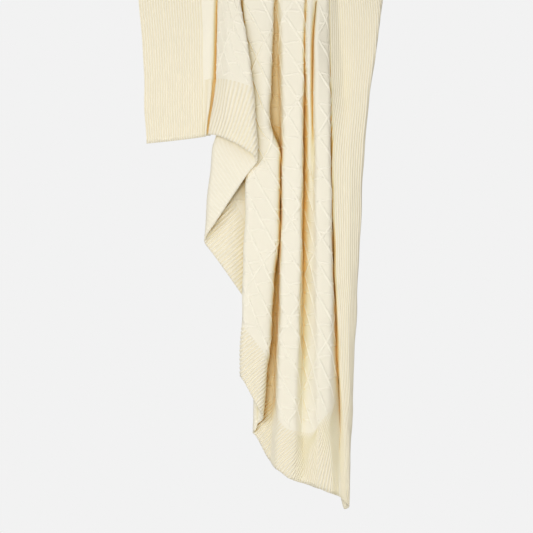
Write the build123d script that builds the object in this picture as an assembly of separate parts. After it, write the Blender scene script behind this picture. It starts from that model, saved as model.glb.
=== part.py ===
"""A knitted throw, gathered into lengthwise pleats and folded into three leaves on a flat support.

Its front end falls over the support's edge as a cascade of pleats. X runs across the throw, -Y is the
front, +Z is up. The origin is the centre of the face that rests on the support. All sizes are in mm.
"""
import math
import os

from build123d import *

# Cloth
CLOTH = 4.0  # thickness of the knitted cloth
LAYER = 4.6  # spacing of cloth layers that lie on each other
BORDER = 120.0  # width of the ribbed borders on all four sides

# Folded stack on the support
LEAF = 32.0  # thickness of one gathered leaf in the middle: seven layers of cloth
THIN_LEAF = 9.5  # thickness of one leaf along both side borders
CROWN = ((-215.0, -90.0), (150.0, 225.0))  # where across the throw a leaf gets thicker, and thinner again
GAP = 2.0  # air between two leaves
REST_DEPTH = 290.0  # depth of the face that rests on the support
EDGE_RADIUS = 8.0  # bend of the innermost layer over the support's edge
OVERHANG = 15.0  # how far the middle leaf reaches past the edge
UPPER_REACH = 36.0  # how far the top leaf reaches back past the resting face
LIFT_LINE = -130.0  # the line along which the top leaf bends when its rear end is lifted
LIFT_ANGLE = 61.0  # how far it can be lifted, in degrees
PLAY = 0.25  # each side's share of the slit between two moving parts
BEND_STEP = 15.0  # facet of a bend, in degrees

# Care label at the rear end
LABEL_WIDTH = 32.0
LABEL_LENGTH = 50.0
LABEL_THICKNESS = 0.8
LABEL_X = 13.0
LABEL_PLAY = 0.4
TAB_HEIGHT = 3.0
STITCH_RADIUS = 0.4
STITCH_LENGTH = 3.0
STITCH_COUNT = 7

FRONT_EDGE = -REST_DEPTH / 2
REAR_EDGE = REST_DEPTH / 2
UPPER_END = REAR_EDGE + UPPER_REACH
MIDDLE_FRONT = FRONT_EDGE - OVERHANG
LIFT_HEIGHT = 2 * LEAF + 2 * GAP  # underside of the top leaf, where its lift line lies

# Heights of the sections through the hanging end: edge of the support, foot of the short pleats,
# foot of the middle pleats, foot of the long side
HEIGHTS = (-EDGE_RADIUS, -335.0, -650.0, -1112.0)


def layer(count):
    """Stand-off of the middle of the cloth in the count-th layer from the support."""
    return CLOTH / 2 + LAYER * (count - 1)


# Each fold line of the cascade, from the left selvedge to the right one: where it lies across the throw
# and how far it stands off the support, at the four heights
LINES = {
    "left_selvedge": ((-259, -240, -236, -236), (layer(1), 14, 14, 14)),
    "left_border_end": ((-122, -116, -116, -116), (6, 9, 9, 9)),
    "first_valley": ((-86, -112, -112, -112), (layer(1), 6, 6, 6)),
    "pleat_1_rise": ((-82, -100, -100, -100), (23, 70, 70, 70)),
    "pleat_1_crest": ((-72, -81, -81, -81), (layer(7), 86, 86, 86)),
    "recess": ((33, 33, 35, 16), (layer(1), 4, 4, 22)),
    "pleat_3_left": ((47, 49, 43, 33), (20, 56, 56, 50)),
    "pleat_3_right": ((89, 87, 81, 66), (22, 60, 60, 56)),
    "third_valley": ((102, 98, 96, 89), (9, 26, 26, 44)),
    "pleat_4_left": ((117, 114, 117, 121), (26, 70, 70, 60)),
    "pleat_4_right": ((140, 142, 148, 156), (26, 66, 66, 60)),
    "slit": ((145, 150, 160, 163), (4, 12, 14, 12)),
    "right_border_crest": ((154, 157, 165, 178), (16, 52, 55, 50)),
    "right_border_middle": ((209, 190, 187, 182), (7, 52, 54, 46)),
    "right_silhouette": ((246, 218, 205, 184), (4, 42, 42, 38)),
    "right_selvedge": ((259, 214, 198, 176), (layer(1), 18, 20, 24)),
}

# Each turn of 180 degrees between two pleats: its outermost place across the throw at the four heights,
# the side it bulges to, and the stand-off of the layers it joins at the edge and hanging
TURNS = {
    "turn_1": ((-43, -7, -7, -7), 1, (layer(7), layer(6)), (80, 66)),
    "turn_2": ((-70, -96, -127, -127), -1, (layer(6), layer(3)), (66, 26)),
    "turn_3": ((3, 12, 16, -4), 1, (layer(3), layer(4)), (26, 38)),
    "turn_4": ((-37, -28, -37, -43), -1, (layer(4), layer(5)), (38, 50)),
    "turn_5": ((26, 20, 26, 8), 1, (layer(5), layer(2)), (50, 14)),
    "turn_6": ((-9, -5, -5, -22), -1, (layer(2), layer(1)), (14, 4)),
}
TURN_STEPS = 4

ORDER = (
    "left_selvedge", "left_border_end", "first_valley", "pleat_1_rise", "pleat_1_crest",
    "turn_1", "turn_2", "turn_3", "turn_4", "turn_5", "turn_6",
    "recess", "pleat_3_left", "pleat_3_right", "third_valley", "pleat_4_left", "pleat_4_right",
    "slit", "right_border_crest", "right_border_middle", "right_silhouette", "right_selvedge",
)

# The pleats of the cascade: first line or turn, last line or turn, and the run of the end hem in XZ
PLEATS = {
    "fall_left_border": ("left_selvedge", "left_border_end", ((-241, -320), (-116, -305))),
    "fall_flap_inner": ("left_border_end", "pleat_1_rise", ((-116, -305), (-102, -301))),
    "fall_pleat_1_front": ("pleat_1_rise", "turn_1", ((-102, -301), (-7, -358))),
    "fall_pleat_1_return": ("turn_1", "turn_2", ((-118, -524), (-7, -358))),
    "fall_pleat_2_rear": ("turn_2", "turn_3", ((-118, -524), (16, -723))),
    "fall_pleat_2_return": ("turn_3", "turn_4", ((-43, -807), (16, -723))),
    "fall_pleat_2_front": ("turn_4", "turn_5", ((-43, -807), (5, -898))),
    "fall_pleat_3_return": ("turn_5", "turn_6", ((-16, -927), (5, -898))),
    "fall_pleat_3_front": ("turn_6", "third_valley", ((-16, -927), (24, -994), (90, -1035))),
    "fall_pleat_4_front": ("third_valley", "slit", ((90, -1035), (165, -1075))),
    "fall_right_border": ("slit", "right_selvedge", ((150, -1054), (184, -1091), (260, -1091))),
}
HEM_REACH = 60.0  # how far a hem's run is lengthened at both ends, to cut the whole pleat
PRISM_TOP = 50.0

# The parts that a lying leaf is knitted in
BANDS = {
    "left_border": (None, "left_border_end"),
    "panel": ("left_border_end", "slit"),
    "right_border": ("slit", None),
}


def u_turn(edge, side, first, last):
    """Points of a turn of 180 degrees that bulges to one side, from one stand-off to the other."""
    radius = abs(first - last) / 2
    way = 1 if first > last else -1
    points = []
    for k in range(TURN_STEPS + 1):
        angle = math.pi / 2 - math.pi * k / TURN_STEPS
        across = edge - side * radius + side * radius * math.cos(angle)
        off = (first + last) / 2 + way * radius * math.sin(angle)
        points.append((across, off))
    return points


def section(level):
    """The cloth's middle line (across, stand-off) at one height, and where each line or turn lies in it."""
    points = []
    place = {}
    for name in ORDER:
        if name in LINES:
            across, off = LINES[name]
            place[name] = len(points)
            points.append((across[level], off[level]))
        else:
            edges, side, at_edge, hanging = TURNS[name]
            first, last = at_edge if level == 0 else hanging
            place[name] = len(points) + TURN_STEPS // 2
            points += u_turn(edges[level], side, first, last)
    return points, place


def outline(level, first=None, last=None):
    """The two faces of the cloth at one height, as (across, stand-off), from one line to another."""
    points, place = section(level)
    faces = ([], [])
    for i, here in enumerate(points):
        normals = []
        for a, b in ((points[max(i - 1, 0)], here), (here, points[min(i + 1, len(points) - 1)])):
            length = math.dist(a, b)
            if length > 0:
                normals.append((-(b[1] - a[1]) / length, (b[0] - a[0]) / length))
        nx = sum(v[0] for v in normals) / len(normals)
        nn = sum(v[1] for v in normals) / len(normals)
        reach = CLOTH / 2 / max(nx * nx + nn * nn, 0.35)
        for way, face in zip((1, -1), faces):
            face.append((here[0] + way * nx * reach, here[1] + way * nn * reach))
    start = place[first] if first else 0
    stop = place[last] + 1 if last else len(points)
    return [face[start:stop] for face in faces]


def facet(a, b, c):
    return Face(Wire.make_polygon([a, b, c], close=True))


def skin(rings):
    """A closed solid through several sections of the cloth. Each ring is its two faces' points in space."""
    faces = []
    for (left, right), (next_left, next_right) in zip(rings, rings[1:]):
        for here, there in ((left, next_left), (right, next_right)):
            for i in range(len(here) - 1):
                faces.append(facet(here[i], here[i + 1], there[i + 1]))
                faces.append(facet(here[i], there[i + 1], there[i]))
        for end in (0, -1):
            faces.append(facet(left[end], right[end], next_right[end]))
            faces.append(facet(left[end], next_right[end], next_left[end]))
    for left, right in (rings[0], rings[-1]):
        for i in range(len(left) - 1):
            faces.append(facet(left[i], left[i + 1], right[i + 1]))
            faces.append(facet(left[i], right[i + 1], right[i]))
    return Solid(Shell(faces))


def placed(faces, put):
    """A section's two faces in space: put turns (across, stand-off) into a point."""
    return [[Vector(*put(x, n)) for x, n in face] for face in faces]


def hanging_pleat(first, last):
    """A pleat of the cascade at full length."""
    rings = []
    for level, height in enumerate(HEIGHTS):
        rings.append(
            placed(
                outline(level, first, last),
                lambda x, n, height=height: (x, FRONT_EDGE - EDGE_RADIUS - n, height),
            )
        )
    return skin(rings)


def prism(points):
    """A slab across the whole depth of the fall, with an outline given in XZ."""
    face = Face(Wire.make_polygon([Vector(x, 100, z) for x, z in points], close=True))
    return Solid.extrude(face, Vector(0, -600, 0))


def hem_line(run, rise):
    """The end hem's run, lengthened at both ends and moved up at a right angle to itself by rise."""
    (xa, za), (xb, zb) = run[0], run[1]
    (xc, zc), (xd, zd) = run[-2], run[-1]
    slope_a = (zb - za) / (xb - xa)
    slope_d = (zd - zc) / (xd - xc)
    start = (xa - HEM_REACH, za - slope_a * HEM_REACH)
    end = (xd + HEM_REACH, zd + slope_d * HEM_REACH)
    points = [start, *run, end]
    lifted = []
    for i, (x, z) in enumerate(points):
        slope = slope_a if i < len(points) / 2 else slope_d
        lifted.append((x, z + rise * math.hypot(1, slope)))
    return lifted


def cascade():
    """The hanging pleats, each as its upper part and its ribbed end band."""
    parts = {}
    for name, (first, last, run) in PLEATS.items():
        whole = hanging_pleat(first, last)
        hem = hem_line(run, 0)
        band_top = hem_line(run, BORDER)
        above = prism([*band_top, (band_top[-1][0], PRISM_TOP), (band_top[0][0], PRISM_TOP)])
        band = prism([*hem, *reversed(band_top)])
        parts[name] = whole & above
        parts[name + "_hem"] = whole & band
    return parts


def crown(x):
    """Thickness of one lying leaf at a place across the throw."""
    (left_low, left_high), (right_high, right_low) = CROWN
    rise = min(max((x - left_low) / (left_high - left_low), 0), 1)
    fall = min(max((right_low - x) / (right_low - right_high), 0), 1)
    share = min(rise, fall)
    return THIN_LEAF + (LEAF - THIN_LEAF) * share * share * (3 - 2 * share)


def lower_z(x, n):
    return n


def middle_z(x, n):
    return 2 * crown(x) + GAP - n


def upper_z(x, n):
    return 2 * crown(x) + 2 * GAP + n


def lying_leaf(height, front, rear, first=None, last=None, slant=0.0):
    """A leaf that lies flat from front to rear. height gives z for (across, stand-off).

    slant leans the front end back, in degrees, above the lift line, so that the leaf can be lifted.
    """
    faces = outline(0, first, last)
    lean = math.tan(math.radians(slant))

    def put_front(x, n):
        z = height(x, n)
        return x, front + max(z - LIFT_HEIGHT, 0) * lean, z

    def put_rear(x, n):
        return x, rear, height(x, n)

    return skin([placed(faces, put_front), placed(faces, put_rear)])


def bend(centre_y, centre_z, radius, start, stop, play_at=None):
    """A bend of the whole gathered cloth about lines along X. Angles are in degrees, 0 up and 90 to the front.

    centre_z gives the line's height for a place across, and radius that of (across, stand-off).
    At the angle play_at the end is drawn back by the play between two moving parts.
    """
    faces = outline(0)
    steps = math.ceil(abs(stop - start) / BEND_STEP)
    way = 1 if stop > start else -1
    rings = []
    for k in range(steps + 1):
        degrees = start + (stop - start) * k / steps
        angle = math.radians(degrees)
        shift = 0.0
        if degrees == play_at:
            shift = PLAY * (-way if k == steps else way)

        def put(x, n, angle=angle, shift=shift):
            r = radius(x, n)
            y = centre_y - r * math.sin(angle) - shift * math.cos(angle)
            z = centre_z(x) + r * math.cos(angle) - shift * math.sin(angle)
            return x, y, z

        rings.append(placed(faces, put))
    return skin(rings)


def folded_stack():
    """The three leaves on the support and the folds that join them."""
    hem_start = UPPER_END - BORDER
    parts = {}
    for name, (first, last) in BANDS.items():
        parts["lower_leaf_" + name] = lying_leaf(lower_z, FRONT_EDGE, REAR_EDGE, first, last)
        parts["middle_leaf_" + name] = lying_leaf(middle_z, MIDDLE_FRONT, REAR_EDGE, first, last)
        parts["top_leaf_" + name] = lying_leaf(
            upper_z, LIFT_LINE + PLAY, hem_start, first, last, slant=LIFT_ANGLE
        )
    parts["top_leaf_front"] = lying_leaf(upper_z, MIDDLE_FRONT, LIFT_LINE - PLAY)
    parts["top_leaf_rear_hem"] = lying_leaf(upper_z, hem_start, UPPER_END)

    def rear_line(x):
        return crown(x) + GAP / 2

    def front_line(x):
        return 2 * crown(x) + 1.5 * GAP

    def edge_line(x):
        return -EDGE_RADIUS

    def rear_radius(x, n):
        return crown(x) + GAP / 2 - n

    def front_radius(x, n):
        return GAP / 2 + n

    def edge_radius(x, n):
        return EDGE_RADIUS + n

    parts["rear_fold"] = bend(REAR_EDGE, rear_line, rear_radius, 0, -180)
    parts["front_fold"] = bend(MIDDLE_FRONT, front_line, front_radius, 0, 180)
    parts["edge_bend_upper"] = bend(FRONT_EDGE, edge_line, edge_radius, 0, 45, 45)
    parts["edge_bend_lower"] = bend(FRONT_EDGE, edge_line, edge_radius, 45, 90, 45)
    return parts


def care_label():
    """A blank folded tape that hangs from the rear end, its sewn-down tab and the stitches on the tab."""
    tab_bottom = upper_z(LABEL_X, 0) + 0.5
    middle_y = UPPER_END + LABEL_THICKNESS / 2
    tab_middle = tab_bottom + TAB_HEIGHT / 2
    tape_middle = tab_bottom - LABEL_PLAY - LABEL_LENGTH / 2
    tab = Pos(LABEL_X, middle_y, tab_middle) * Box(LABEL_WIDTH, LABEL_THICKNESS, TAB_HEIGHT)
    tape = Pos(LABEL_X, middle_y, tape_middle) * Box(LABEL_WIDTH, LABEL_THICKNESS, LABEL_LENGTH)
    pitch = LABEL_WIDTH / STITCH_COUNT
    stitches = []
    for k in range(STITCH_COUNT):
        x = LABEL_X + (k - (STITCH_COUNT - 1) / 2) * pitch
        stitch = Cylinder(STITCH_RADIUS, STITCH_LENGTH, rotation=(0, 90, 0))
        stitches.append(Pos(x, UPPER_END + LABEL_THICKNESS + STITCH_RADIUS, tab_middle) * stitch)
    return {"care_label_tab": tab, "care_label": tape, "label_stitches": Compound(children=stitches)}


def main():
    os.makedirs("parts", exist_ok=True)
    parts = {**cascade(), **folded_stack(), **care_label()}
    for name, shape in parts.items():
        export_step(shape, f"parts/{name}.step")
        print(name, round(shape.volume))


main()
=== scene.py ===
"""A cream knitted throw, folded on a support out of view, with its front end falling as a cascade.

The cloth is one surface. Its fold lines are read at every station along its length, which gives a table of
points over (across the cloth, along the cloth). Every piece is a region of that surface with its own
stitches: ribbed side borders and end hems, and a smooth panel under raised lattice lines.
"""
import math

import bpy
import numpy as np
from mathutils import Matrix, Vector

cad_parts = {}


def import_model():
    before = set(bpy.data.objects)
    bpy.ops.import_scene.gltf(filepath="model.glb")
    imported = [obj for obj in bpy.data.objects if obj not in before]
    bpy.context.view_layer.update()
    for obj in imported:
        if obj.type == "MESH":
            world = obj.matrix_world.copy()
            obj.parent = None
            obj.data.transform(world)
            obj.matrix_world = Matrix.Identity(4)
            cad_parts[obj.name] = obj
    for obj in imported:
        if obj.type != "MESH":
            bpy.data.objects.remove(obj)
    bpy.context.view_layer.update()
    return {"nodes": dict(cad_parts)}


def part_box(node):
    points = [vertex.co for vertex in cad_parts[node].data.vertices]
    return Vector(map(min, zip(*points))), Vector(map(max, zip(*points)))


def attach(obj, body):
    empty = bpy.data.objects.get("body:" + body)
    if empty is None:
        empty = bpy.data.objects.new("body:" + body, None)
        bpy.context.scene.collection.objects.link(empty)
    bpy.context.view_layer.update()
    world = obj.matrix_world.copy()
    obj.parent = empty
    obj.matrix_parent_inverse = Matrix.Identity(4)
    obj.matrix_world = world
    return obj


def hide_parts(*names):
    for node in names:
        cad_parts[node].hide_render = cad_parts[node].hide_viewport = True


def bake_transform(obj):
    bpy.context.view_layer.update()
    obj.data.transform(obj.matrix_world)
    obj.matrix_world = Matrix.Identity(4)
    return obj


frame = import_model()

MM = 0.001

# Cloth and knit, in mm
CLOTH = 3.2  # thickness without the ribs' relief
LAYER = 4.6  # spacing of layers that lie on each other in the stack
BORDER_RIB = 5.4  # pitch of the side borders' ribs
HEM_RIB = 7.6  # pitch of the end hems' ribs, which the drape stretches
BORDER = 24 * BORDER_RIB  # width of the ribbed side borders
HEM = 120.0  # width of the rear end's hem
BORDER_RELIEF = 0.55  # half the height of a rib
HEM_RELIEF = 0.95
BACK_SHARE = 0.3  # the ribs' relief on the wrong side, as a share of the right side's
RIB_COLUMNS = 6  # mesh columns on one rib
SEAM_FADE = 5.0  # how far from a border's inner seam its ribs reach their full relief
OVERLAP = 0.8  # how far a piece reaches under its neighbour at a seam
TUCK = 0.25  # how far below its neighbour's face it has sunk there

# Support and stack, as the frame has them, in mm
LEAF = 32.0  # thickness of a lying leaf where it is gathered
THIN_LEAF = 9.5  # thickness at its sides
CROWN = ((-215.0, -90.0), (150.0, 225.0))  # where it grows from thin to thick, and back again
GAP = 2.0  # between two leaves
EDGE_RADIUS = 8.0  # radius of the bend over the support's front edge
FRONT_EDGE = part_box("lower_leaf_panel")[0][1] / MM
REAR_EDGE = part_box("lower_leaf_panel")[1][1] / MM
MIDDLE_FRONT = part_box("middle_leaf_panel")[0][1] / MM
UPPER_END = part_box("top_leaf_rear_hem")[1][1] / MM
LIFT_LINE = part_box("top_leaf_front")[1][1] / MM
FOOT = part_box("fall_right_border_hem")[0][2] / MM  # the cascade's lowest point


def layer(count):
    """Stand-off of the count-th layer of cloth at the support's edge."""
    return 2.0 + LAYER * (count - 1)


# Fold lines of the cascade from the left selvedge to the right one. Each is a list of
# (height, across, stand-off from the support's front), read by a smooth curve. The first entry is at the
# support's edge, and below its last entry a line goes on straight down.
LINES = {
    "left_selvedge": ((-8, -259, layer(1)), (-120, -249, 7), (-335, -241, 12)),
    "left_border_middle": ((-8, -190, 3), (-120, -183, 15), (-335, -178, 20)),
    "left_border_end": ((-8, -122, 6), (-120, -118, 15), (-335, -118, 18)),
    "flap_roll": ((-8, -101, 12), (-175, -104, 19), (-300, -116, 25)),
    "first_valley": ((-8, -90, 2), (-175, -93, 4), (-300, -107, 9)),
    "pleat_1_rise": ((-8, -88, 18), (-175, -92, 25), (-300, -107, 36)),
    "pleat_1_crest": ((-8, -72, layer(7)), (-300, -68, 66)),
    "recess": ((-8, 33, layer(1)), (-335, 42, 5), (-650, 37, 6), (-990, 22, 18)),
    "pleat_3_left": ((-8, 46, 21), (-335, 50, 58), (-650, 44, 58), (-1000, 33, 50)),
    "pleat_3_right": ((-8, 90, 23), (-335, 86, 62), (-650, 80, 62), (-1030, 66, 56)),
    "third_valley": ((-8, 95, 10), (-129, 93, 26), (-335, 90, 20), (-650, 88, 26), (-1036, 88, 46)),
    "pleat_5": ((-8, 104, 22), (-129, 102, 56), (-345, 103, 46), (-500, 104, 44), (-1040, 104, 52)),
    "pleat_5_valley": ((-8, 120, 12), (-129, 111, 34), (-345, 112, 42), (-500, 113, 54), (-1040, 114, 58)),
    "pleat_4_left": ((-8, 124, 24), (-129, 116, 60), (-345, 118, 68), (-650, 120, 70), (-1045, 122, 62)),
    "pleat_4_right": ((-8, 138, 26), (-345, 145, 68), (-694, 148, 68), (-881, 143, 62), (-1056, 148, 58)),
    "slit": (
        (-8, 144, 14), (-200, 146, 34), (-345, 149, 17), (-560, 155, 20), (-694, 160, 29), (-864, 167, 33),
        (-935, 168, 42), (-1060, 166, 52),
    ),
    "right_border_crest": (
        (-8, 147, 16), (-356, 151, 54), (-545, 157, 56), (-694, 164, 56), (-864, 173, 54), (-957, 177, 52),
        (-1091, 181, 48),
    ),
    "right_border_hollow": (
        (-8, 162, 3), (-120, 170, 17), (-209, 177, 28), (-335, 176, 50), (-650, 176, 55), (-864, 180, 53),
        (-1091, 183, 47),
    ),
    "right_border_middle": ((-8, 206, 7), (-335, 190, 50), (-650, 186, 54), (-1091, 185, 46)),
    "right_silhouette": (
        (-8, 255, 5), (-47, 252, 16), (-127, 242, 30), (-205, 231, 38), (-287, 221, 42), (-490, 210, 42),
        (-789, 196, 40), (-921, 191, 38), (-1091, 183, 36),
    ),
    "right_selvedge": ((-8, 258, layer(1)), (-335, 213, 14), (-650, 196, 12), (-1091, 160, 12)),
}

# Turns of 180 degrees between two pleats: the side they bulge to, and (height, outermost place across,
# stand-off of the first layer, stand-off of the last layer)
TURNS = {
    "turn_1": (1, (
        (-8, -46, layer(7), layer(6)), (-129, -26, 60, 48), (-236, -12, 76, 55), (-356, -7, 82, 58),
    )),
    "turn_2": (-1, (
        (-8, -70, layer(6), layer(3)), (-285, -87, 36, 14), (-335, -102, 32, 14), (-524, -118, 40, 20),
    )),
    "turn_3": (1, ((-8, 3, layer(3), layer(4)), (-335, 12, 24, 38), (-723, 16, 26, 38))),
    "turn_4": (-1, (
        (-8, -37, layer(4), layer(5)), (-335, -28, 38, 52), (-421, -31, 38, 52), (-807, -43, 38, 52),
    )),
    "turn_5": (1, (
        (-8, 28, layer(5), layer(2)), (-280, 21, 52, 14), (-345, 42, 52, 14), (-480, 41, 52, 14),
        (-612, 29, 52, 14), (-692, 24, 52, 14), (-898, 5, 52, 16),
    )),
    "turn_6": (-1, ((-8, -9, layer(2), layer(1)), (-335, -5, 14, 4), (-650, -5, 14, 4), (-927, -16, 16, 5))),
}
TURN_STEPS = 4  # control points of a turn, less one
TURN_REACH = 10.0  # how far across a turn's bulge reaches at most

ORDER = (
    "left_selvedge", "left_border_middle", "left_border_end", "flap_roll", "first_valley",
    "pleat_1_rise", "pleat_1_crest", "turn_1", "turn_2", "turn_3", "turn_4", "turn_5", "turn_6",
    "recess", "pleat_3_left", "pleat_3_right", "third_valley", "pleat_5", "pleat_5_valley",
    "pleat_4_left", "pleat_4_right", "slit",
    "right_border_crest", "right_border_hollow", "right_border_middle",
    "right_silhouette", "right_selvedge",
)

# The end hem: how low it hangs at each fold line, the lean of its ribs there in degrees, and how far up the
# ribs reach
HEM_LINES = {
    "left_selvedge": (-320, 90, 120), "left_border_middle": (-314, 90, 120),
    "left_border_end": (-306, 90, 120), "flap_roll": (-304, 88, 120), "first_valley": (-303, 86, 120),
    "pleat_1_rise": (-302, 78, 120), "pleat_1_crest": (-314, 67, 125), "turn_1": (-358, 56, 120),
    "turn_2": (-524, 42, 100), "turn_3": (-723, 35, 58), "turn_4": (-807, 34, 80), "turn_5": (-898, 36, 85),
    "turn_6": (-930, 40, 90), "recess": (-990, 43, 100), "pleat_3_left": (-1006, 46, 108),
    "pleat_3_right": (-1027, 54, 125), "third_valley": (-1035, 64, 150), "pleat_5": (-1040, 68, 175),
    "pleat_5_valley": (-1043, 71, 190), "pleat_4_left": (-1046, 75, 215), "pleat_4_right": (-1056, 81, 235),
    "slit": (-1063, 88, 240), "right_border_crest": (-1078, 90, 250),
    "right_border_hollow": (-1085, 90, 250), "right_border_middle": (-1091, 90, 250),
    "right_silhouette": (-1068, 90, 250), "right_selvedge": (-1035, 90, 250),
}


def follow(points, at):
    """A smooth curve through (place, value) points that never overshoots, read at one or more places."""
    points = sorted(points)
    x = np.array([p[0] for p in points], float)
    y = np.array([p[1] for p in points], float)
    step = np.diff(x)
    rise = np.diff(y) / step
    slope = np.concatenate([rise[:1], np.zeros(len(x) - 2), rise[-1:]])
    for i in range(1, len(x) - 1):
        if rise[i - 1] * rise[i] > 0:
            slope[i] = 2 * rise[i - 1] * rise[i] / (rise[i - 1] + rise[i])
    at = np.clip(np.asarray(at, float), x[0], x[-1])
    k = np.clip(np.searchsorted(x, at, side="right") - 1, 0, len(x) - 2)
    t = (at - x[k]) / step[k]
    start = (1 + 2 * t) * (1 - t) ** 2 * y[k] + t * (1 - t) ** 2 * step[k] * slope[k]
    end = t * t * (3 - 2 * t) * y[k + 1] + t * t * (t - 1) * step[k] * slope[k + 1]
    return start + end


# ---------------------------------------------------------------------------------------------------------
# The section across the cloth
# ---------------------------------------------------------------------------------------------------------
SPAN_STEPS = 6  # samples between two control points of a section
EASE = (0.28, 0.72)  # extra control points on a straight stretch, which keep its corners tight


def wobble(z, k):
    """Small unevenness of a fold line at a height: hand-hung cloth is never ruled."""
    fade = min(max((-z - 20) / 200, 0), 1)
    return fade * (0.9 * math.sin(z / 31 + 1.7 * k) + 0.7 * math.sin(z / 17.3 + 2.9 * k))


def control_points(z):
    """Control points (across, stand-off) of the section at a height, and the place of each named line."""
    points = []
    place = {}
    for k, name in enumerate(ORDER):
        if name in LINES:
            rows = LINES[name]
            here = [(
                float(follow([(r[0], r[1]) for r in rows], z)) + wobble(z, k),
                float(follow([(r[0], r[2]) for r in rows], z)),
            )]
            middle = 0
        else:
            side, rows = TURNS[name]
            edge = float(follow([(r[0], r[1]) for r in rows], z)) + wobble(z, k)
            first = float(follow([(r[0], r[2]) for r in rows], z))
            last = float(follow([(r[0], r[3]) for r in rows], z))
            radius = abs(first - last) / 2
            reach = min(radius, TURN_REACH)
            way = 1 if first > last else -1
            here = []
            for s in range(TURN_STEPS + 1):
                angle = math.pi / 2 - math.pi * s / TURN_STEPS
                off = (first + last) / 2 + way * radius * math.sin(angle)
                here.append((edge - side * reach + side * reach * math.cos(angle), off))
            middle = TURN_STEPS // 2
        if points:
            a = points[-1]
            b = here[0]
            for t in EASE:
                points.append((a[0] + (b[0] - a[0]) * t, a[1] + (b[1] - a[1]) * t))
        place[name] = len(points) + middle
        points += here
    return np.array(points), place


def spline(points):
    """A uniform cubic B-spline that starts and ends at the first and last control points."""
    first = 2 * points[0] - points[1]
    last = 2 * points[-1] - points[-2]
    p = np.vstack([first, points, last])
    count = len(points) - 1
    t = np.arange(count * SPAN_STEPS + 1) / SPAN_STEPS
    k = np.minimum(t.astype(int), count - 1)
    f = (t - k)[:, None]
    a, b, c, d = p[k], p[k + 1], p[k + 2], p[k + 3]
    return (
        (1 - f) ** 3 * a + (3 * f ** 3 - 6 * f ** 2 + 4) * b
        + (-3 * f ** 3 + 3 * f ** 2 + 3 * f + 1) * c + f ** 3 * d
    ) / 6


def lengths(curve):
    """Distance along a curve at each of its points."""
    return np.concatenate([[0], np.cumsum(np.linalg.norm(np.diff(curve, axis=0), axis=1))])


def section(z):
    """The section at a height, as dense points. Points on the side borders are evenly spaced."""
    points, place = control_points(z)
    curve = spline(points)
    left = place["left_border_end"] * SPAN_STEPS
    right = place["slit"] * SPAN_STEPS
    for part in (slice(0, left + 1), slice(right, len(curve))):
        run = curve[part]
        length = lengths(run)
        even = np.linspace(0, length[-1], len(run))
        curve[part] = np.stack([np.interp(even, length, run[:, i]) for i in (0, 1)], axis=1)
    return curve, place


# The cloth's own measure across: each border is as wide as it was knitted, and the panel is measured in
# the middle of the cascade
MEASURE_HEIGHT = -520.0
measured, PLACE = section(MEASURE_HEIGHT)
LEFT = PLACE["left_border_end"] * SPAN_STEPS
RIGHT = PLACE["slit"] * SPAN_STEPS
panel_run = lengths(measured[LEFT:RIGHT + 1])
ACROSS = np.concatenate([
    np.linspace(0, BORDER, LEFT + 1)[:-1],
    BORDER + panel_run,
    BORDER + panel_run[-1] + np.linspace(0, BORDER, len(measured) - RIGHT)[1:],
])
PANEL_START = BORDER
PANEL_END = BORDER + panel_run[-1]


def across_of(name):
    return ACROSS[PLACE[name] * SPAN_STEPS]


# ---------------------------------------------------------------------------------------------------------
# The cloth's surface, from the foot of the cascade to the rear end of the top leaf
# ---------------------------------------------------------------------------------------------------------
HANG_STEP = 8.0  # rows of the table on the hanging cloth
LIE_STEP = 10.0  # rows on a lying leaf
EASE_ROWS = 6  # rows at each end of a leaf in which its unevenness fades
BEND_ROWS = 10  # rows round a bend
EDGE_ARC = 28.0  # length along that the bend over the support's edge counts for
FOLD_ARC = 40.0  # the same for the stack's rear and front folds


def crown(x):
    """Thickness of one lying leaf at a place across the throw."""
    (left_low, left_high), (right_high, right_low) = CROWN
    rise = np.clip((x - left_low) / (left_high - left_low), 0, 1)
    fall = np.clip((right_low - x) / (right_low - right_high), 0, 1)
    share = np.minimum(rise, fall)
    return THIN_LEAF + (LEAF - THIN_LEAF) * share * share * (3 - 2 * share)


def ripple(x, y, phase):
    """Slow unevenness of a lying leaf's pleats, across and along."""
    return 2.2 * np.sin(y / 71 + x / 190 + phase) + 1.1 * np.sin(y / 33 - x / 120 + 2 * phase)


def lying(y, height, phase, ease):
    """A row of a lying leaf. height gives z, and ease fades the unevenness out at the folds."""
    x, n = edge_section[:, 0], edge_section[:, 1]
    shifted = x + ease * ripple(x, y, phase)
    return np.stack([shifted, np.full_like(x, y), height(x, n)], axis=1)


def turning(y, centre_z, radius, degrees):
    """A row of a bend of the whole gathered cloth. 0 degrees is up and 90 to the front."""
    x = edge_section[:, 0]
    angle = math.radians(degrees)
    return np.stack([x, y - radius * math.sin(angle), centre_z + radius * math.cos(angle)], axis=1)


def lower_z(x, n):
    return n


def middle_z(x, n):
    return 2 * crown(x) + GAP - n


def upper_z(x, n):
    return 2 * crown(x) + 2 * GAP + n


edge_section, _ = section(-EDGE_RADIUS)
rows = []
along = []
marks = {}
for z in np.arange(FOOT - HANG_STEP, -EDGE_RADIUS - 0.1, HANG_STEP):
    curve, _ = section(z)
    y = FRONT_EDGE - EDGE_RADIUS - curve[:, 1]
    rows.append(np.stack([curve[:, 0], y, np.full(len(curve), z)], axis=1))
    along.append(z)
edge_x, edge_n = edge_section[:, 0], edge_section[:, 1]
for k in range(BEND_ROWS + 1):
    rows.append(turning(FRONT_EDGE, -EDGE_RADIUS, EDGE_RADIUS + edge_n, 90 * (1 - k / BEND_ROWS)))
    along.append(-EDGE_RADIUS + EDGE_ARC * k / BEND_ROWS)


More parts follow.
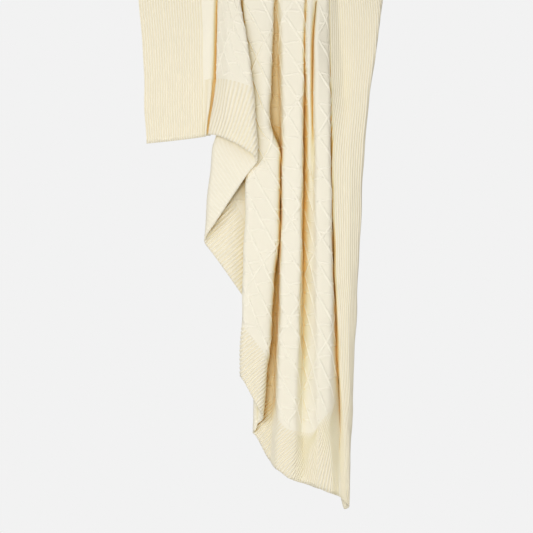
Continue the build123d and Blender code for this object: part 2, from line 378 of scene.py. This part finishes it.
def lay(start, stop, height, phase):
    """Rows of a leaf from one y to another."""
    count = round(abs(stop - start) / LIE_STEP)
    for k in range(1, count + 1):
        y = start + (stop - start) * k / count
        ease = min(k, count - k, EASE_ROWS) / EASE_ROWS
        rows.append(lying(y, height, phase, ease))
        along.append(along[-1] + abs(stop - start) / count)


def fold_over(y, centre_z, radius, first, last):
    """Rows of a fold from one angle to another."""
    for k in range(1, BEND_ROWS + 1):
        rows.append(turning(y, centre_z, radius, first + (last - first) * k / BEND_ROWS))
        along.append(along[-1] + FOLD_ARC / BEND_ROWS)


marks["edge_end"] = along[-1]
lay(FRONT_EDGE, REAR_EDGE, lower_z, 0.4)
fold_over(REAR_EDGE, crown(edge_x) + GAP / 2, crown(edge_x) + GAP / 2 - edge_n, -180, 0)
lay(REAR_EDGE, MIDDLE_FRONT, middle_z, 2.1)
marks["middle_end"] = along[-1]
fold_over(MIDDLE_FRONT, 2 * crown(edge_x) + 1.5 * GAP, GAP / 2 + edge_n, 180, 0)
lay(MIDDLE_FRONT, UPPER_END, upper_z, 4.0)
marks["end"] = along[-1]

TABLE = np.array(rows)
ALONG = np.array(along)
tangent_a = np.gradient(TABLE, axis=1)
tangent_t = np.gradient(TABLE, axis=0)
NORMAL = np.cross(tangent_a, tangent_t)
NORMAL /= np.maximum(np.linalg.norm(NORMAL, axis=2, keepdims=True), 1e-9)


def cloth(a, t, lift):
    """Points of the cloth, in metres, from places across and along and the lift off its middle."""
    a, t, lift = np.broadcast_arrays(np.asarray(a, float), np.asarray(t, float), np.asarray(lift, float))
    i = np.clip(np.searchsorted(ACROSS, a, side="right") - 1, 0, len(ACROSS) - 2)
    j = np.clip(np.searchsorted(ALONG, t, side="right") - 1, 0, len(ALONG) - 2)
    u = np.clip((a - ACROSS[i]) / (ACROSS[i + 1] - ACROSS[i]), 0, 1)[..., None]
    v = np.clip((t - ALONG[j]) / (ALONG[j + 1] - ALONG[j]), 0, 1)[..., None]

    def read(grid):
        low = grid[j, i] * (1 - u) + grid[j, i + 1] * u
        high = grid[j + 1, i] * (1 - u) + grid[j + 1, i + 1] * u
        return low * (1 - v) + high * v

    return (read(TABLE) + read(NORMAL) * lift[..., None]) * MM


# ---------------------------------------------------------------------------------------------------------
# The end hem on the cloth
# ---------------------------------------------------------------------------------------------------------
HEM_POINTS = [(across_of(name), HEM_LINES[name][0]) for name in ORDER]
LEAN_POINTS = [(across_of(name), HEM_LINES[name][1]) for name in ORDER]
REACH_POINTS = [(across_of(name), HEM_LINES[name][2]) for name in ORDER]


def hem_height(a):
    return follow(HEM_POINTS, a)


def rib_lean(a):
    return np.radians(follow(LEAN_POINTS, a))


def hem_reach(a):
    return follow(REACH_POINTS, a)


def hem_band(a, share):
    """Where a hem rib that starts at a on the hem's edge has got to, at a share of its length."""
    lean = rib_lean(a)
    run = share * np.minimum(hem_reach(a), (PANEL_END - a) / np.maximum(np.cos(lean), 0.01) + 1)
    return a + run * np.cos(lean), hem_height(a) + run * np.sin(lean)


# The upper ends of many ribs trace the line where the panel begins
top_across, top_height = hem_band(np.linspace(PANEL_START, PANEL_END, 1500), 1.0)
top_order = np.argsort(top_across)


def band_top(a):
    """Height at which the panel begins above the hem."""
    return np.interp(a, top_across[top_order], top_height[top_order])


# ---------------------------------------------------------------------------------------------------------
# Materials
# ---------------------------------------------------------------------------------------------------------
def node(tree, kind, **values):
    n = tree.nodes.new(kind)
    for key, value in values.items():
        if hasattr(n, key):
            setattr(n, key, value)
        else:
            n.inputs[key].default_value = value
    return n


def maths(tree, operation, first, second=None):
    n = tree.nodes.new("ShaderNodeMath")
    n.operation = operation
    for socket, value in zip(n.inputs, (first, second)):
        if value is None:
            continue
        if isinstance(value, (int, float)):
            socket.default_value = value
        else:
            tree.links.new(value, socket)
    return n.outputs[0]


def blended(tree, share, first, second):
    """A colour between two, by a share from 0 to 1."""
    mix = tree.nodes.new("ShaderNodeMix")
    mix.data_type = "RGBA"
    for socket, value in ((mix.inputs[0], share), (mix.inputs[6], first), (mix.inputs[7], second)):
        if isinstance(value, (tuple, float)):
            socket.default_value = value
        else:
            tree.links.new(value, socket)
    return mix.outputs[2]


def shader(name, roughness):
    material = bpy.data.materials.new(name)
    material.use_nodes = True
    tree = material.node_tree
    bsdf = tree.nodes["Principled BSDF"]
    bsdf.inputs["Roughness"].default_value = roughness
    bsdf.inputs["Specular IOR Level"].default_value = 0.15
    return material, tree, bsdf


LIT = (0.880, 0.840, 0.715, 1.0)
WARM = (0.880, 0.820, 0.665, 1.0)
# Painted shade of the knit's enclosed places: half shade, then deep ochre
PAINTED_HALF_SHADE = (0.810, 0.745, 0.490, 1.0)
PAINTED_DEEP_SHADE = (0.900, 0.560, 0.100, 1.0)
# Painted shade in the grooves between ribs
PAINTED_GROOVE_SHADE = (0.780, 0.690, 0.470, 1.0)
# Painted highlight: the lattice yarn is lighter than the cloth, as light on its raised lines
LATTICE_PAINTED_HIGHLIGHT = (0.940, 0.900, 0.780, 1.0)


def share_between(tree, value, low, high):
    """0 where the value is at low, 1 where it is at high."""
    span = tree.nodes.new("ShaderNodeMapRange")
    span.inputs["From Min"].default_value = low
    span.inputs["From Max"].default_value = high
    tree.links.new(value, span.inputs["Value"])
    return span.outputs[0]


def knit(name, wale, course, relief, lit=LIT, groove_shade=0.0):
    """Knitted cotton: columns of V-shaped stitches, fine fibre and slow change of tone, with painted shade in
    the deep places and the grooves and a painted highlight on the raised loops. Sizes in mm.

    groove_shade is how much painted shade darkens the grooves between ribs of two columns.
    """
    material, tree, bsdf = shader(name, 0.92)
    bsdf.inputs["Sheen Weight"].default_value = 0.25
    bsdf.inputs["Sheen Roughness"].default_value = 0.6
    uv = tree.nodes.new("ShaderNodeUVMap")
    uv.uv_map = "UVMap"
    split = tree.nodes.new("ShaderNodeSeparateXYZ")
    tree.links.new(uv.outputs[0], split.inputs[0])
    # Each column of stitches is two slanted legs that meet in its middle
    column = maths(tree, "MULTIPLY", split.outputs[0], 1000 / wale)
    half = maths(tree, "ABSOLUTE", maths(tree, "SUBTRACT", maths(tree, "FRACT", column), 0.5))
    legs = maths(tree, "SINE", maths(tree, "MULTIPLY", half, 2 * math.pi))
    course_run = maths(tree, "MULTIPLY", split.outputs[1], 1000 / course)
    slanted = maths(tree, "ADD", course_run, maths(tree, "MULTIPLY", half, 1.3))
    loops = maths(tree, "ABSOLUTE", maths(tree, "SINE", maths(tree, "MULTIPLY", slanted, math.pi)))
    stitch = maths(tree, "MULTIPLY", maths(tree, "POWER", legs, 0.6), maths(tree, "POWER", loops, 0.7))
    coordinates = tree.nodes.new("ShaderNodeTexCoord")
    fibre = node(tree, "ShaderNodeTexNoise", Scale=900.0, Detail=4.0, Roughness=0.6)
    tone = node(tree, "ShaderNodeTexNoise", Scale=9.0, Detail=3.0, Roughness=0.5)
    for noise in (fibre, tone):
        tree.links.new(coordinates.outputs["Object"], noise.inputs["Vector"])
    height = maths(tree, "ADD", stitch, maths(tree, "MULTIPLY", fibre.outputs[0], 0.35))
    bump = node(tree, "ShaderNodeBump", Strength=0.55, Distance=relief * MM)
    tree.links.new(height, bump.inputs["Height"])
    tree.links.new(bump.outputs[0], bsdf.inputs["Normal"])
    # Painted shade: where ambient occlusion finds a spot enclosed, the colour turns to ochre, standing in for
    # light thrown to and fro between layers of cream yarn in the deep places
    hidden = node(tree, "ShaderNodeAmbientOcclusion", samples=8, Distance=0.045)
    toned = blended(tree, maths(tree, "MULTIPLY", tone.outputs[0], 0.5), lit, WARM)
    # Painted highlight: the raised stitch loops are lighter
    painted_stitch_shading = blended(tree, maths(tree, "MULTIPLY", stitch, 0.12), toned, (0.96, 0.92, 0.80, 1.0))
    # Painted shade: the grooves between the ribs of two columns are darker
    if groove_shade:
        ridge = maths(tree, "COSINE", maths(tree, "MULTIPLY", column, math.pi))
        between = maths(tree, "MULTIPLY", maths(tree, "SUBTRACT", 1.0, ridge), groove_shade / 2)
        painted_stitch_shading = blended(tree, between, painted_stitch_shading, PAINTED_GROOVE_SHADE)
    # Painted shade: the colour goes from the open tone to half shade and then to deep ochre as the spot gets
    # more enclosed
    inner = blended(tree, share_between(tree, hidden.outputs["AO"], 0.16, 0.38), PAINTED_DEEP_SHADE, PAINTED_HALF_SHADE)
    base_with_painted_shade = blended(tree, share_between(tree, hidden.outputs["AO"], 0.40, 0.76), inner, painted_stitch_shading)
    tree.links.new(base_with_painted_shade, bsdf.inputs["Base Color"])
    return material


def woven(name, colour, pitch):
    """Plain woven tape or thread. pitch in mm."""
    material, tree, bsdf = shader(name, 0.55)
    coordinates = tree.nodes.new("ShaderNodeTexCoord")
    waves = []
    for direction in ("X", "Z"):
        wave = node(tree, "ShaderNodeTexWave", Scale=1 / (pitch * MM) / 6.28, Distortion=0.4)
        wave.bands_direction = direction
        tree.links.new(coordinates.outputs["Object"], wave.inputs["Vector"])
        waves.append(wave.outputs["Fac"])
    weave = maths(tree, "MULTIPLY", waves[0], waves[1])
    bump = node(tree, "ShaderNodeBump", Strength=0.4, Distance=0.0002)
    tree.links.new(weave, bump.inputs["Height"])
    tree.links.new(bump.outputs[0], bsdf.inputs["Normal"])
    # Painted shade: the hollows of the weave are darker
    painted_weave_shade = tuple(c * 0.85 for c in colour[:3]) + (1.0,)
    tree.links.new(blended(tree, weave, painted_weave_shade, colour), bsdf.inputs["Base Color"])
    return material


RIB_KNIT = knit("cream_rib_knit", BORDER_RIB / 2, 3.4, 0.1, groove_shade=0.7)
HEM_KNIT = knit("cream_hem_knit", BORDER_RIB / 2, 3.4, 0.12, groove_shade=0.6)
REVERSE_KNIT = knit("cream_reverse_knit", BORDER_RIB / 2, 3.4, 0.12, groove_shade=0.15)
PANEL_KNIT = knit("cream_panel_knit", 4.4, 4.2, 0.32)
LATTICE_KNIT = knit("cream_lattice_yarn", 2.4, 3.0, 0.4, LATTICE_PAINTED_HIGHLIGHT)


# ---------------------------------------------------------------------------------------------------------
# Pieces
# ---------------------------------------------------------------------------------------------------------
def mesh_piece(name, points, faces, uvs, material):
    mesh = bpy.data.meshes.new(name)
    mesh.from_pydata(points.tolist(), [], faces)
    layer_uv = mesh.uv_layers.new(name="UVMap")
    corner = np.empty(len(mesh.loops), dtype=np.int32)
    mesh.loops.foreach_get("vertex_index", corner)
    layer_uv.data.foreach_set("uv", uvs[corner].astype(np.float32).ravel())
    mesh.polygons.foreach_set("use_smooth", [True] * len(mesh.polygons))
    mesh.materials.append(material)
    mesh.update()
    piece = bpy.data.objects.new(name, mesh)
    bpy.context.collection.objects.link(piece)
    return piece


def edge_of(grid, side, inward=0):
    """The row or column of a grid at one of its sides, or a step inward of it."""
    if side == "left":
        return grid[:, inward]
    if side == "right":
        return grid[:, -1 - inward]
    if side == "low":
        return grid[inward]
    return grid[-1 - inward]


def edge_spacing(a, t, side):
    """Mean distance from a side of a grid to the next row or column."""
    step_a = edge_of(a, side) - edge_of(a, side, 1)
    step_t = edge_of(t, side) - edge_of(t, side, 1)
    return float(np.hypot(step_a, step_t).mean())


def with_margin(grid, side, share):
    """A grid with one more row or column beyond a side, at a share of the spacing there."""
    edge = edge_of(grid, side)
    more = edge + (edge - edge_of(grid, side, 1)) * share
    axis = 1 if side in ("left", "right") else 0
    more = np.expand_dims(more, axis)
    parts = (more, grid) if side in ("left", "low") else (grid, more)
    return np.concatenate(parts, axis=axis)


def shell(name, a, t, relief, material, seams=(), stitches=None):
    """A piece of cloth with two faces and closed edges, from grids of places across and along.

    relief lifts both faces alike, as ribs do. seams are sides of the grid, of left, right, low and high,
    that meet another piece: the piece reaches a little way under its neighbour there, and its rim is flat,
    so that it doesn't shade the two faces. stitches is the place across by which the stitches are laid
    out, where that isn't the place on the cloth.
    """
    stitches = a if stitches is None else stitches
    thinner = np.zeros_like(relief)
    for side in seams:
        share = OVERLAP / edge_spacing(a, t, side)
        a, t, stitches = (with_margin(grid, side, share) for grid in (a, t, stitches))
        relief = with_margin(relief, side, 0)
        thinner = with_margin(thinner, side, 0)
        edge_of(thinner, side)[:] = TUCK
    count_v, count_u = a.shape
    face = cloth(a, t, relief + CLOTH / 2 - thinner).reshape(-1, 3)
    back = cloth(a, t, relief * BACK_SHARE - CLOTH / 2 + thinner).reshape(-1, 3)
    uv = np.stack([stitches, t], axis=-1).reshape(-1, 2) * MM
    size = count_u * count_v
    index = np.arange(size).reshape(count_v, count_u)
    quads = np.stack([index[:-1, :-1], index[:-1, 1:], index[1:, 1:], index[1:, :-1]], axis=-1).reshape(-1, 4)
    faces = [tuple(q) for q in quads.tolist()]
    faces += [tuple(reversed([v + size for v in q])) for q in quads.tolist()]
    rims = {
        "low": index[0, :], "high": index[-1, ::-1], "right": index[:, -1], "left": index[::-1, 0],
    }
    flat = []
    for side, rim in rims.items():
        rim = rim.tolist()
        if side in seams:
            flat += range(len(faces), len(faces) + len(rim) - 1)
        faces += [(q, p, p + size, q + size) for p, q in zip(rim, rim[1:])]
    piece = mesh_piece(name, np.vstack([face, back]), faces, np.vstack([uv, uv]), material)
    for k in flat:
        piece.data.polygons[k].use_smooth = False
    if material is HEM_KNIT:  # a hem's wrong side shows, and its grooves are faint
        piece.data.materials.append(REVERSE_KNIT)
        for k in range(len(quads), 2 * len(quads)):
            piece.data.polygons[k].material_index = 1
    return piece


def rib_wave(run, pitch, relief):
    """Relief of ribs across a run: full round ridges and narrow grooves."""
    phase = 2 * math.pi * run / pitch
    return relief * (np.cos(phase) + 0.25 * np.cos(2 * phase))


def smooth(share):
    share = np.clip(share, 0, 1)
    return share * share * (3 - 2 * share)


def steps(start, stop, pitch):
    return np.linspace(start, stop, max(2, round(abs(stop - start) / pitch) + 1))


SEAM_LOWER = marks["edge_end"] + 45  # where the hanging pieces end, under the middle leaf
SEAM_UPPER = marks["middle_end"] - 20  # where the top leaf's pieces begin, under the front fold
FALL_ROW = 9.0
PANEL_COLUMN = 3.2
PANEL_ROW = 7.0


def border(name, side, start, stop, seams):
    """A ribbed side border. start is a place along, or None for the hem."""
    a0 = 0.0 if side == "left" else PANEL_END
    columns = steps(a0, a0 + BORDER, BORDER_RIB / RIB_COLUMNS)
    low = hem_height(columns) if start is None else np.full_like(columns, start)
    count = max(2, round((stop - low.mean()) / FALL_ROW))
    share = np.linspace(0, 1, count + 1)[:, None]
    t = low[None, :] * (1 - share) + stop * share
    a = np.broadcast_to(columns[None, :], t.shape)
    inner = "right" if side == "left" else "left"
    to_seam = a0 + BORDER - a if side == "left" else a - a0
    ribs = rib_wave(a - a0, BORDER_RIB, BORDER_RELIEF) * smooth(to_seam / SEAM_FADE)
    return shell(name, a, t, ribs, RIB_KNIT, seams + (inner,), a - a0)


def panel(name, start, stop, seams):
    """The smooth panel between the side borders. start is a place along, or None for the hem's top."""
    columns = steps(PANEL_START, PANEL_END, PANEL_COLUMN)
    low = band_top(columns) if start is None else np.full_like(columns, start)
    count = round((stop - low.min()) / PANEL_ROW)
    share = np.linspace(0, 1, count + 1)[:, None]
    t = low[None, :] * (1 - share) + stop * share
    a = np.broadcast_to(columns[None, :], t.shape)
    if start is None:
        seams += ("low",)
    return shell(name, a, t, np.zeros_like(t), PANEL_KNIT, seams + ("left", "right"))


def fall_hem(name):
    """The ribbed end hem of the cascade, whose ribs lean as the cloth hangs on the bias."""
    start = np.linspace(PANEL_START, PANEL_END, 3000)
    edge = np.stack([start, hem_height(start)], axis=1)
    run = lengths(edge)
    phase = steps(0, run[-1], HEM_RIB / RIB_COLUMNS)
    columns = np.interp(phase, run, start)
    first, share = np.meshgrid(columns, np.linspace(0, 1, 19))
    a, t = hem_band(first, share)
    ribs_run = np.broadcast_to(phase[None, :], a.shape)
    fade = smooth((1 - share) / 0.15) * smooth((PANEL_END - first) / SEAM_FADE)
    ribs = rib_wave(ribs_run, HEM_RIB, HEM_RELIEF) * fade
    stitches = ribs_run * BORDER_RIB / HEM_RIB
    return shell(name, a, t, ribs, HEM_KNIT, ("left", "right", "high"), stitches)


def rear_hem(name):
    """The ribbed hem at the rear end of the top leaf."""
    columns = steps(PANEL_START, PANEL_END, HEM_RIB / RIB_COLUMNS)
    a, t = np.meshgrid(columns, steps(marks["end"] - HEM, marks["end"], FALL_ROW))
    fade = smooth((t - marks["end"] + HEM) / 20)
    ribs = rib_wave(a - PANEL_START, HEM_RIB, HEM_RELIEF) * fade
    stitches = (a - PANEL_START) * BORDER_RIB / HEM_RIB
    return shell(name, a, t, ribs, HEM_KNIT, ("left", "right", "low"), stitches)


# Shape of a lattice line, in mm
LINE_HALF_WIDTH = 3.4
LINE_HEIGHT = 1.3
LINE_FADE = 7.0  # how far from its ends a line reaches its full height
TWIST = 0.16
TWIST_PITCH = 8.0


def lattice(name, lines):
    """Raised lines of crossed stitches on the cloth's right side. Each line is (across, along) points."""
    profile = [(-1.0, 0.0), (-0.66, 0.2), (-0.34, 0.72), (0.0, 1.0), (0.34, 0.72), (0.66, 0.2), (1.0, 0.0)]
    points, faces, uvs, hidden = [], [], [], []
    for number, line in enumerate(lines):
        run = lengths(line)
        direction = np.gradient(line, axis=0)
        direction /= np.linalg.norm(direction, axis=1, keepdims=True)
        aside = np.stack([-direction[:, 1], direction[:, 0]], axis=1)
        # The two strands of a travelling stitch swell and sink in turn, and the line fades in at its ends
        twist = TWIST * np.sin(2 * math.pi * run / TWIST_PITCH + number)
        rise = LINE_HEIGHT * smooth(np.minimum(run, run[-1] - run) / LINE_FADE + 0.15)
        base = sum(len(p) for p in points)
        for k, (out, up) in enumerate(profile):
            place = line + aside * (out * LINE_HALF_WIDTH * (1 + twist * np.sign(out)))[:, None]
            lift = CLOTH / 2 - 0.12 + up * rise * (1 + twist)
            points.append(cloth(place[:, 0], place[:, 1], lift))
            uvs.append(np.stack([np.full(len(run), k * 0.8), run], axis=1) * MM)
        count = len(line)
        for k in range(len(profile) - 1):
            for i in range(count - 1):
                p = base + k * count + i
                faces.append((p, p + count, p + count + 1, p + 1))
        last = base + (len(profile) - 1) * count
        hidden += range(len(faces), len(faces) + count + 1)
        for i in range(count - 1):
            faces.append((last + i, base + i, base + i + 1, last + i + 1))
        faces.append(tuple(base + k * count for k in reversed(range(len(profile)))))
        faces.append(tuple(base + k * count + count - 1 for k in range(len(profile))))
    piece = mesh_piece(name, np.vstack(points), faces, np.vstack(uvs), LATTICE_KNIT)
    for k in hidden:  # the side on the cloth and the ends don't shade the rounded face
        piece.data.polygons[k].use_smooth = False
    return piece


# Lattice: steep lines that fall to the right, rungs between them, and a few lines that cross the other way
# (mm and radians)
STEEP_SPACING = 36.0
STEEP_LEAN = math.radians(62)
CROSS_SPACING = 150.0
CROSS_LEAN = math.radians(56)
RUNG_SPACING = 44.0  # between two neighbouring steep lines
LATTICE_START = PANEL_START + 42.0  # the panel is plain beside the left border
LINE_STEP = 3.5


def turn_at(a, t):
    """Cosine of the angle that the cloth turns through within a few mm across."""
    ways = [cloth(place, t, 1.0) - cloth(place, t, 0.0) for place in (a - 4, a + 4)]
    return (ways[0] * ways[1]).sum(axis=-1) / MM ** 2


def clip_line(line, low, high):
    """The stretches of a line that lie on the panel, between low and high, clear of its tightest turns."""
    a, t = line[:, 0], line[:, 1]
    inside = (a > LATTICE_START) & (a < PANEL_END - 4) & (t > low(a) + 5) & (t < high)
    inside &= turn_at(a, t) > 0.35
    stretches = []
    start = None
    for i, here in enumerate(inside):
        if here and start is None:
            start = i
        if start is not None and (not here or i == len(inside) - 1):
            if i - start > 4:
                stretches.append(line[start:i])
            start = None
    return stretches


def steep_place(k, drop):
    """Where the k-th steep line lies across, at a drop below the lattice's upper end."""
    return PANEL_START + k * STEEP_SPACING + drop / math.tan(STEEP_LEAN) + 6 * np.sin(drop / 60 + k * 1.3)


def lattice_lines(low, low_end, high):
    """The steep lines, the rungs and the crossing lines, cut to the panel."""
    lines = []
    width = PANEL_END - PANEL_START
    height = high - low_end
    first = -int(height / math.tan(STEEP_LEAN) / STEEP_SPACING) - 1
    last = int(width / STEEP_SPACING) + 1
    drop = np.arange(0, height, LINE_STEP)
    for k in range(first, last):
        lines += clip_line(np.stack([steep_place(k, drop), high - drop], axis=1), low, high)
        for rung in np.arange(12 + RUNG_SPACING / 2 * (k % 2), height, RUNG_SPACING):
            start, stop = steep_place(k, rung), steep_place(k + 1, rung)
            share = np.linspace(0, 1, 11)
            t = high - rung + 2.5 * np.sin(math.pi * share + k)
            lines += clip_line(np.stack([start + (stop - start) * share, t], axis=1), low, high)
    reach = height / math.tan(CROSS_LEAN)
    for k in range(int((width + reach) / CROSS_SPACING) + 1):
        a = PANEL_START + 40 + k * CROSS_SPACING - drop / math.tan(CROSS_LEAN) + 5 * np.sin(drop / 70 + k)
        lines += clip_line(np.stack([a, high - drop], axis=1), low, high)
    return lines


# ---------------------------------------------------------------------------------------------------------
# Build
# ---------------------------------------------------------------------------------------------------------
FALL_BLEND = {"start": (0, (FRONT_EDGE - 3) * MM, 0.012), "end": (0, (FRONT_EDGE - 30) * MM, -0.040)}
TOP_BLEND = {"start": (0, LIFT_LINE * MM, 0.08), "end": (0, (LIFT_LINE + 140) * MM, 0.08)}


def nodes_like(*beginnings, without=()):
    return [
        n for n in frame["nodes"]
        if n.startswith(beginnings) and not any(word in n for word in without)
    ]


def finish_cloth(piece, nodes, blend=None):
    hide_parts(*nodes)
    if blend is None:
        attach(piece, "folded_stack")
    else:
        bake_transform(piece)


fall_left = border("throw_fall_left_border", "left", None, SEAM_LOWER, ("high",))
fall_right = border("throw_fall_right_border", "right", None, SEAM_LOWER, ("high",))
fall_panel = panel("throw_fall_panel", None, SEAM_LOWER, ("high",))
hem = fall_hem("throw_fall_hem")
fall_lattice = lattice("throw_fall_lattice", lattice_lines(band_top, FOOT + HEM, SEAM_LOWER - 30))

stack_left = border("throw_stack_left_border", "left", SEAM_LOWER, SEAM_UPPER, ("low", "high"))
stack_right = border("throw_stack_right_border", "right", SEAM_LOWER, SEAM_UPPER, ("low", "high"))
stack_panel = panel("throw_stack_panel", SEAM_LOWER, SEAM_UPPER, ("low", "high"))

top_left = border("throw_top_left_border", "left", SEAM_UPPER, marks["end"], ("low",))
top_right = border("throw_top_right_border", "right", SEAM_UPPER, marks["end"], ("low",))
top_panel = panel("throw_top_panel", SEAM_UPPER, marks["end"] - HEM, ("low", "high"))
top_hem = rear_hem("throw_top_rear_hem")


def flat_start(a):
    return np.full_like(a, SEAM_UPPER + 25)


top_lattice = lattice(
    "throw_top_lattice", lattice_lines(flat_start, SEAM_UPPER + 25, marks["end"] - HEM - 4)
)

fall = ("front_fall", FALL_BLEND)
top = ("top_leaf", TOP_BLEND)

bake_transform(fall_lattice)
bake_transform(top_lattice)

finish_cloth(
    fall_left, ["fall_left_border", "fall_left_border_hem"],
    fall,
)
finish_cloth(
    fall_right, ["fall_right_border", "fall_right_border_hem"],
    fall,
)
finish_cloth(
    hem, [n for n in nodes_like("fall_pleat_", "fall_flap_inner") if n.endswith("_hem")],
    fall,
)
finish_cloth(
    fall_panel, nodes_like("fall_pleat_", "fall_flap_inner", without=("_hem",))
    + ["edge_bend_upper", "edge_bend_lower", "lower_leaf_panel"],
    fall,
)
finish_cloth(
    stack_left, ["lower_leaf_left_border", "middle_leaf_left_border"],
)
finish_cloth(
    stack_right, ["lower_leaf_right_border", "middle_leaf_right_border"],
)
finish_cloth(
    stack_panel, ["middle_leaf_panel", "rear_fold"],
)
finish_cloth(
    top_left, ["top_leaf_left_border"],
    top,
)
finish_cloth(
    top_right, ["top_leaf_right_border"],
    top,
)
finish_cloth(
    top_panel, ["top_leaf_panel", "top_leaf_front", "front_fold"],
    top,
)
finish_cloth(
    top_hem, ["top_leaf_rear_hem"],
    top,
)

LABEL_TAPE = woven("label_satin_tape", (0.86, 0.86, 0.83, 1.0), 0.5)
LABEL_THREAD = woven("label_sewing_thread", (0.80, 0.77, 0.68, 1.0), 0.3)
for name, material in (
    ("care_label", LABEL_TAPE), ("care_label_tab", LABEL_TAPE), ("label_stitches", LABEL_THREAD),
):
    held = frame["nodes"][name]
    held.data.materials.clear()
    held.data.materials.append(material)


# ---------------------------------------------------------------------------------------------------------
# Stage, light and camera
# ---------------------------------------------------------------------------------------------------------
VIEW_CENTRE = (0.0126, -0.5797)  # across and height of the picture's middle, in metres
VIEW_WIDTH = 1.119
DISTANCE = 7.0
FLOOR = FOOT * MM - 0.25


def stage():
    bpy.ops.mesh.primitive_circle_add(vertices=96, radius=1.3, fill_type="NGON", location=(0, 0, FLOOR))
    floor = bpy.context.object
    floor.name = "stage_floor"
    material, tree, bsdf = shader("stage_paper", 0.9)
    grain = node(tree, "ShaderNodeTexNoise", Scale=60.0, Detail=3.0)
    tree.links.new(
        blended(tree, grain.outputs[0], (0.86, 0.86, 0.86, 1.0), (0.88, 0.88, 0.88, 1.0)),
        bsdf.inputs["Base Color"],
    )
    floor.data.materials.append(material)


def world(backdrop, strength):
    """A pale backdrop as the camera sees it, and soft light all round of its own strength."""
    scene_world = bpy.data.worlds.new("studio")
    bpy.context.scene.world = scene_world
    scene_world.use_nodes = True
    tree = scene_world.node_tree
    tree.nodes.clear()
    out = tree.nodes.new("ShaderNodeOutputWorld")
    seen = node(tree, "ShaderNodeBackground", Color=(backdrop, backdrop, backdrop, 1.0), Strength=1.0)
    lit = node(tree, "ShaderNodeBackground", Color=(1.0, 0.965, 0.890, 1.0), Strength=strength)
    path = tree.nodes.new("ShaderNodeLightPath")
    mix = tree.nodes.new("ShaderNodeMixShader")
    tree.links.new(path.outputs["Is Camera Ray"], mix.inputs[0])
    tree.links.new(lit.outputs[0], mix.inputs[1])
    tree.links.new(seen.outputs[0], mix.inputs[2])
    tree.links.new(mix.outputs[0], out.inputs[0])


def area_light(name, place, target, size, power, colour=(1.0, 1.0, 1.0)):
    light = bpy.data.lights.new(name, "AREA")
    light.shape = "SQUARE"
    light.size = size
    light.energy = power
    light.color = colour
    lamp = bpy.data.objects.new(name, light)
    bpy.context.collection.objects.link(lamp)
    lamp.location = place
    aim = Vector(target) - Vector(place)
    lamp.rotation_euler = aim.to_track_quat("-Z", "Y").to_euler()


def camera():
    data = bpy.data.cameras.new("camera")
    data.sensor_width = 36
    data.lens = 36 * DISTANCE / VIEW_WIDTH
    data.clip_end = 50
    eye = bpy.data.objects.new("camera", data)
    bpy.context.collection.objects.link(eye)
    eye.location = (VIEW_CENTRE[0], -0.21 - DISTANCE, VIEW_CENTRE[1])
    eye.rotation_euler = (math.pi / 2, 0, 0)
    bpy.context.scene.camera = eye


stage()
world(0.888, 0.36)
middle = (0.0, -0.2, -0.55)
area_light("front", (-0.4, -2.4, -0.26), (0.0, -0.2, -0.38), 0.9, 22.5)
area_light("key", (-2.2, -3.0, 0.4), middle, 1.2, 24)
area_light("side", (2.4, -2.8, -0.2), middle, 1.4, 13)
area_light("rear", (0.8, 2.6, 1.2), middle, 2.0, 30)
area_light("over", (0.0, 0.9, 2.2), (0.0, 0.0, 0.0), 1.6, 16)
camera()
bpy.context.scene.view_settings.view_transform = "Standard"
